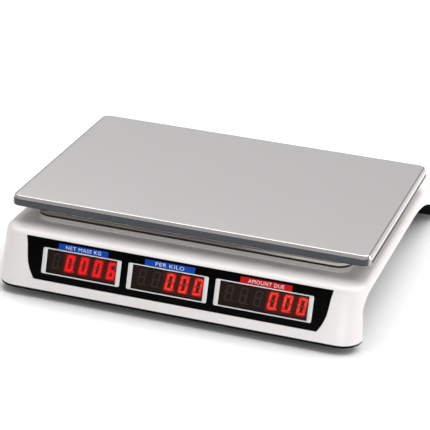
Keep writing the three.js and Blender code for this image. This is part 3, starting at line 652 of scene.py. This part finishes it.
def text_piece(name, words, size, centre, z, place, body, material, weight=0.0):
    """Raised lettering of a given width and height, centred on a point of a face.

    A width of 0 keeps the letters' own proportions.
    """
    curve = bpy.data.curves.new(name, "FONT")
    curve.body = words
    curve.offset = weight
    curve.space_character = 1.12
    curve.resolution_u = 3
    holder = bpy.data.objects.new(name + "_source", curve)
    bpy.context.scene.collection.objects.link(holder)
    bpy.context.view_layer.update()
    evaluated = holder.evaluated_get(bpy.context.evaluated_depsgraph_get())
    mesh = bpy.data.meshes.new_from_object(evaluated)
    bpy.data.objects.remove(holder)
    bpy.data.curves.remove(curve)
    mesh.name = name
    xs, ys = [v.co.x for v in mesh.vertices], [v.co.y for v in mesh.vertices]
    middle = Vector(((max(xs) + min(xs)) / 2, (max(ys) + min(ys)) / 2, 0))
    scale_y = size[1] / (max(ys) - min(ys))
    scale_x = size[0] / (max(xs) - min(xs)) if size[0] else scale_y
    work = bmesh.new()
    work.from_mesh(mesh)
    bmesh.ops.remove_doubles(work, verts=work.verts, dist=1e-5)
    up = bmesh.ops.extrude_face_region(work, geom=work.faces[:])
    raised = [v for v in up["geom"] if isinstance(v, bmesh.types.BMVert)]
    for vert in work.verts:
        vert.co = Vector(((vert.co.x - middle.x) * scale_x, (vert.co.y - middle.y) * scale_y, 0))
    for vert in raised:
        vert.co.z = LETTER_THICK
    bmesh.ops.recalc_face_normals(work, faces=work.faces)
    work.to_mesh(mesh)
    work.free()
    mesh.transform(place @ Matrix.Translation((centre[0], centre[1], z)))
    add_object(name, mesh, body, material)


WINDOWS = ((-127.1, -51.0), (-44.8, 31.5), (37.5, 128.0))
READINGS = (" 0.006", "  0.00", "   0.00")
PITCH = (13.4, 13.2, 13.4)  # from digit to digit
END_GAP = (0.1, 0.5, 1.0)  # from the last digit to the frame
FRAME_SIDE, FRAME_FLAT, FRAME_RADIUS = 4.4, 1.25, 1.7  # widths of the window frame, and its corner
HOLE_INSET = (3.6, 0.9)  # from the outside of a frame to the hole in the panel, across and up
BACK_INSET = (3.7, 1)  # the same to the dark back
PANEL_FRONT = -0.05  # heights are from the face, outwards
FRAME_BACK, FRAME_FRONT = -0.6, 0.0
BACK_FRONT, BACK_REAR = -1.6, -2
DIGIT_RISE = 0.7  # from the middle of the window to the middle of the digits
SPOTS = ("left", "middle", "right")
CUSTOMER_WINDOWS = (30.0, 12.3)  # middle and half height of the window frames
OPERATOR_WINDOWS = (-18.0, 9.9)
CUSTOMER_LABELS = (42.35, 47.8, 3.3)  # lower and upper edge, height of the letters
OPERATOR_LABELS = (-7.9, -4.5, 2.1)
OPERATOR_OUTLINE = (-140 * MM, 140 * MM, -30 * MM, -4 * MM, 1.5 * MM)  # metres; the last is the corner
LABELS = (  # bar, words, width of the words, colour
    ((-112.3, -64.6), "NET MASS KG", 34, "blue"),
    ((-29.5, 17.8), "PER KILO", 27, "blue"),
    ((59.9, 107.4), "AMOUNT DUE", 33, "red"),
)


def panel_with_windows(outline, holes, z0, z1):
    """Plate with rounded-rectangle holes: filled in 2-D by bmesh, then given its thickness."""
    work = bmesh.new()
    for loop in [outline] + holes:
        verts = [work.verts.new((x, y, z1)) for x, y in loop]
        for k, vert in enumerate(verts):
            work.edges.new((vert, verts[(k + 1) % len(verts)]))
    bmesh.ops.triangle_fill(work, edges=work.edges[:], use_beauty=True)
    up = bmesh.ops.extrude_face_region(work, geom=work.faces[:])
    for vert in [v for v in up["geom"] if isinstance(v, bmesh.types.BMVert)]:
        vert.co.z = z0
    bmesh.ops.recalc_face_normals(work, faces=work.faces)
    bmesh.ops.dissolve_limit(work, angle_limit=math.radians(0.5), verts=work.verts, edges=work.edges)
    return work


PANEL_BOTTOM, PANEL_TOP = 11.5, 50.0
PANEL_HALF_BOTTOM, PANEL_HALF_TOP = 133.5, 144.0
PANEL_BULGE = 5.0  # of its sides


def customer_outline():
    """Black panel: sides bowed outwards, narrower at the bottom; in metres."""
    bottom, top, bulge = PANEL_BOTTOM, PANEL_TOP, PANEL_BULGE
    half_bottom, half_top = PANEL_HALF_BOTTOM, PANEL_HALF_TOP
    right = []
    steps = 14
    for k in range(steps + 1):
        t = k / steps
        side = half_bottom + (half_top - half_bottom) * t + bulge * math.sin(math.pi * t) * (1 - t)
        right.append((side * MM, (bottom + (top - bottom) * t) * MM))
    return right + [(-x, y) for x, y in reversed(right)]


def build_display(side, place, outline, middle, half, form, looks):
    """One display: glossy plate, window frames, dark backs and digits, in face coordinates."""
    across, up = HOLE_INSET
    holes = [round_rect((x0 + across) * MM, (x1 - across) * MM, (middle - half + up) * MM,
                        (middle + half - up) * MM, 0.4 * MM, 3) for x0, x1 in WINDOWS]
    work = panel_with_windows(outline, holes, -PANEL_THICK, PANEL_FRONT * MM)
    mesh = bpy.data.meshes.new(side + "_plate")
    work.to_mesh(mesh)
    work.free()
    mesh.transform(place)
    plate = add_object(side + "_plate", mesh, "housing", looks["acrylic"],
                       [side + "_panel"])
    bevel = plate.modifiers.new("eased_edges", "BEVEL")
    bevel.width = 0.3 * MM
    bevel.segments = 2
    bevel.limit_method = "ANGLE"
    for index in range(3):
        build_window(side, place, index, middle, half, form, looks)


def build_window(side, place, index, middle, half, form, looks):
    """Frame, dark back, lit and unlit bars and their dim halo for one window."""
    (x0, x1), spot, reading = WINDOWS[index], SPOTS[index], READINGS[index]
    low, high = middle - half, middle + half
    ring = frame_ring(x0 * MM, x1 * MM, low * MM, high * MM, (FRAME_SIDE * MM, FRAME_FLAT * MM),
                      FRAME_RADIUS * MM, FRAME_BACK * MM, FRAME_FRONT * MM)
    name = f"{side}_frame_{spot}"
    add_object(name, mesh_from(name, *ring, transform=place, smooth=40), "housing", looks["frame"])

    floor_z = BACK_FRONT * MM
    digits = reading.replace(".", "")
    point_after = reading.index(".") - 1
    last = x1 - FRAME_SIDE - END_GAP[index] - form["wide"] - form["slant"] * form["tall"]
    xs = [last - PITCH[index] * (len(digits) - 1 - k) for k in range(len(digits))]
    base = middle + DIGIT_RISE - form["tall"] / 2
    bar = form["bars"][index]
    lit, unlit, halo = [dot(xs[point_after], base, form)], [], []
    for k, (x, digit) in enumerate(zip(xs, digits)):
        lit += digit_bars(x, base, LIT[digit], form, bar)
        halo += digit_bars(x, base, LIT[digit], form, bar, BLOOM)
        off = [letter for letter in "abcdefg" if letter not in LIT[digit]]
        unlit += digit_bars(x, base, off, form, bar, (UNLIT_BAR - bar) / 2)
        if k != point_after:
            unlit.append(dot(x, base, form))
    lit_left = xs[len(digits) - len(digits.strip())]

    name = f"{side}_back_{spot}"
    across, up = BACK_INSET
    outline = round_rect((x0 + across) * MM, (x1 - across) * MM, (low + up) * MM, (high - up) * MM, 0.3 * MM, 2)
    back = loft([at_height(outline, BACK_REAR * MM), at_height(outline, floor_z)])
    around = place, (lit_left * MM, x1 * MM), middle * MM, form["tall"] / 2 * MM
    backing = spilled_glow(name, (0.009, 0.0036, 0.0017), 0.25, 0.042, *around)
    add_object(name, mesh_from(name, *back, transform=place), "housing", backing,
               [f"{side}_digits_{spot}"])
    dim = spilled_glow(f"{side}_dim_{spot}", (0.030, 0.017, 0.012), 0.2, 0.2, *around)
    for what, outlines, rise, look in (("lit", lit, 0.15, looks["lit_" + spot]), ("unlit", unlit, 0.12, dim),
                                       ("halo", halo, 0.06, looks["halo"])):
        name = f"{side}_{what}_{spot}"
        mesh = mesh_from(name, *plates(outlines, floor_z, floor_z + rise * MM), transform=place)
        add_object(name, mesh, "housing", look)


def build_labels(side, place, low, high, height, looks):
    """Coloured header bar over each window, from low to high, with lettering of the given height."""
    for ((x0, x1), words, width, colour), spot in zip(LABELS, SPOTS):
        outline = round_rect(x0 * MM, x1 * MM, low * MM, high * MM, 0.15 * MM, 2)
        name = f"{side}_label_{spot}"
        tag = loft([at_height(outline, -0.3 * MM), at_height(outline, -0.02 * MM)])
        add_object(name, mesh_from(name, *tag, transform=place), "housing", looks[colour])
        centre = ((x0 + x1) / 2 * MM, (low + high) / 2 * MM)
        text_piece(f"{side}_words_{spot}", words, (width * MM, height * MM), centre, -0.03 * MM, place,
                   "housing", looks["ink"])


# ---------------------------------------------------------------- keypad and level
LEGENDS = (("7", "8", "9", "M1", "M2"), ("4", "5", "6", "M3", "M4"), ("1", "2", "3", "+", "x"),
           ("0", ".", "C", "T", "Z"))
RED_KEYS = ("C", "T", "Z")
SMALL_SIGNS = {".": 0.7, "+": 2.4, "x": 2.2}  # heights
LEGEND_HEIGHT = 3.4
COLUMNS = len(LEGENDS[0])
PAD_MIDDLE_X, PAD_TOP_ROW = 62, 38.5  # middle column, and the first row's distance down the console
KEY_PITCH_X, KEY_PITCH_Y = 20, 11
KEY_TOP = 1.99  # the legend sits just in the key's top


def key_legends(ink, pale_ink):
    """Generic legends, row by row from the top of the pad, as the operator sees them."""
    for row, legends in enumerate(LEGENDS):
        for column, legend in enumerate(legends):
            index = row * COLUMNS + column + 1
            x, y = PAD_MIDDLE_X + (column - 2) * KEY_PITCH_X, -(PAD_TOP_ROW + row * KEY_PITCH_Y)
            height = SMALL_SIGNS.get(legend, LEGEND_HEIGHT)
            text_piece(f"legend_{index:02d}", legend, (0, height * MM), (x * MM, y * MM), KEY_TOP * MM, CONSOLE,
                       f"key_{index:02d}", pale_ink if legend in RED_KEYS else ink, 0.02)


BUBBLE = ((1.5, 0.0), (1.35, 0.21), (0.9, 0.35))  # radius and height, mm
VIAL_RING = ((2.6, 0.0), (2.6, 0.06), (2.3, 0.06), (2.3, 0.0))
VIAL_SUNK = 0.4 * MM  # below the top of the level


def build_vial(air, dark):
    """Bubble and centre ring on the level's window."""
    low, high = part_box("level_vial")
    cx, cy, top = (low[0] + high[0]) / 2, (low[1] + high[1]) / 2, high[2]
    for name, levels, look, skin in (("vial_bubble", BUBBLE, air, loft),
                                     ("vial_ring", VIAL_RING, dark, closed_tube)):
        rings = [[(cx + r * MM * math.cos(math.pi * k / 16), cy + r * MM * math.sin(math.pi * k / 16),
                   top - VIAL_SUNK + z * MM) for k in range(32)] for r, z in levels]
        add_object(name, mesh_from(name, *skin(rings), smooth=40), "housing", look)


# ---------------------------------------------------------------- the object
make_camera()
make_studio()
make_floor()

white = plastic("white_moulding", WHITE, 0.36)
black = plastic("black_moulding", (0.0025, 0.0025, 0.0025), 0.62, grain=900, bump=0.3, shine=0.08)
looks = {
    "acrylic": plastic("black_acrylic", (0.0008, 0.0008, 0.0008), 0.09, grain=300, bump=0.01),
    "frame": plastic("silver_frame", (0.66, 0.65, 0.645), 0.34, grain=900, bump=0.05),
    "lit_left": glow("lit_left", (0.92, 0.012, 0.014), (0.78, 0.006, 0.010)),
    "lit_middle": glow("lit_middle", (1.0, 0.060, 0.03), (0.75, 0.010, 0.014)),
    "lit_right": glow("lit_right", (1.0, 0.080, 0.035), (0.75, 0.010, 0.014)),
    "halo": glow("halo", (0.26, 0.006, 0.006), (0.18, 0.004, 0.004)),
    "blue": plastic("blue_label", (0.001, 0.052, 0.37), 0.5, grain=800, bump=0.05, shine=0.1),
    "red": plastic("red_label", (0.50, 0.002, 0.002), 0.5, grain=800, bump=0.05, shine=0.1),
    "ink": plastic("white_ink", (0.6, 0.7, 0.8), 0.5, grain=800, bump=0.05),
    "dark_ink": plastic("dark_ink", (0.02, 0.022, 0.026), 0.5, grain=800, bump=0.05),
}
# Painted shade: the near-black foam stands for the dark groove under the pan's rim.
foam = plastic("seal_foam_painted_shade", (0.012, 0.010, 0.009), 0.9, grain=2500, bump=0.5)
lip = painted_shade_seal()
refine("housing_cover", cover_plastic(), bevel=0.5)
refine("base_tray", black, bevel=0.5)
build_pan(pan_metal())
build_dust_seal(foam, lip)
build_display("customer", FACE, customer_outline(), *CUSTOMER_WINDOWS, CUSTOMER_DIGIT, looks)
build_labels("customer", FACE, *CUSTOMER_LABELS, looks)
build_display("operator", CONSOLE, round_rect(*OPERATOR_OUTLINE, 4), *OPERATOR_WINDOWS, OPERATOR_DIGIT, looks)
build_labels("operator", CONSOLE, *OPERATOR_LABELS, looks)

grey = plastic("grey_overlay", (0.16, 0.17, 0.19), 0.45, grain=900, bump=0.15)
key_white = plastic("key_white", (0.60, 0.61, 0.62), 0.42, grain=1400, bump=0.15)
key_blue = plastic("key_blue", (0.03, 0.12, 0.36), 0.42, grain=1400, bump=0.15)
key_red = plastic("key_red", (0.50, 0.03, 0.03), 0.42, grain=1400, bump=0.15)
rubber = plastic("rubber_foot", (0.018, 0.017, 0.016), 0.85, grain=1800, bump=0.5, drift=0.15)
switch = plastic("switch_black", (0.01, 0.01, 0.01), 0.3, grain=900, bump=0.1)
vial_green = plastic("vial_liquid", (0.25, 0.55, 0.04), 0.08, grain=120, bump=0.02, drift=0.15)
vial_air = plastic("vial_air", (0.65, 0.85, 0.35), 0.06, grain=120, bump=0.02, drift=0.1)
cast = brushed_metal("cast_aluminium", (0.55, 0.56, 0.57), 0.42, (1, 1, 1), drift=0.08)
bolt = brushed_metal("zinc_steel", (0.45, 0.46, 0.48), 0.32, (1, 1, 30), drift=0.06)
battery = plastic("battery_case", (0.03, 0.034, 0.04), 0.55, grain=900, bump=0.25)
board = circuit_board()

refine("keypad_bezel", grey, bevel=0.25)
for index, legend in enumerate((legend for legends in LEGENDS for legend in legends), 1):
    cap = key_white if (index - 1) % COLUMNS < 3 else key_blue
    refine(f"key_{index:02d}", key_red if legend in RED_KEYS else cap, bevel=0.45)
key_legends(looks["dark_ink"], looks["ink"])
refine("power_inlet", switch, bevel=0.3)
refine("switch_body", switch, bevel=0.3)
refine("switch_rocker", key_red, bevel=0.3, angle=40)
refine("level_vial", vial_green, bevel=0.0)
build_vial(vial_air, looks["dark_ink"])
refine("battery_door", black, bevel=0.3)
for corner in ("front_left", "front_right", "rear_left", "rear_right"):
    refine("foot_" + corner, rubber, bevel=0.25)

NODE_LOOKS = (("board", board), ("load_cell", cast), ("bolt", bolt), ("screw", bolt),
              ("pan_support", cast), ("support_pad", rubber), ("battery", battery))
for name, node in frame["nodes"].items():
    node.data.materials.clear()
    node.data.materials.append(next((look for word, look in NODE_LOOKS if word in name), white))
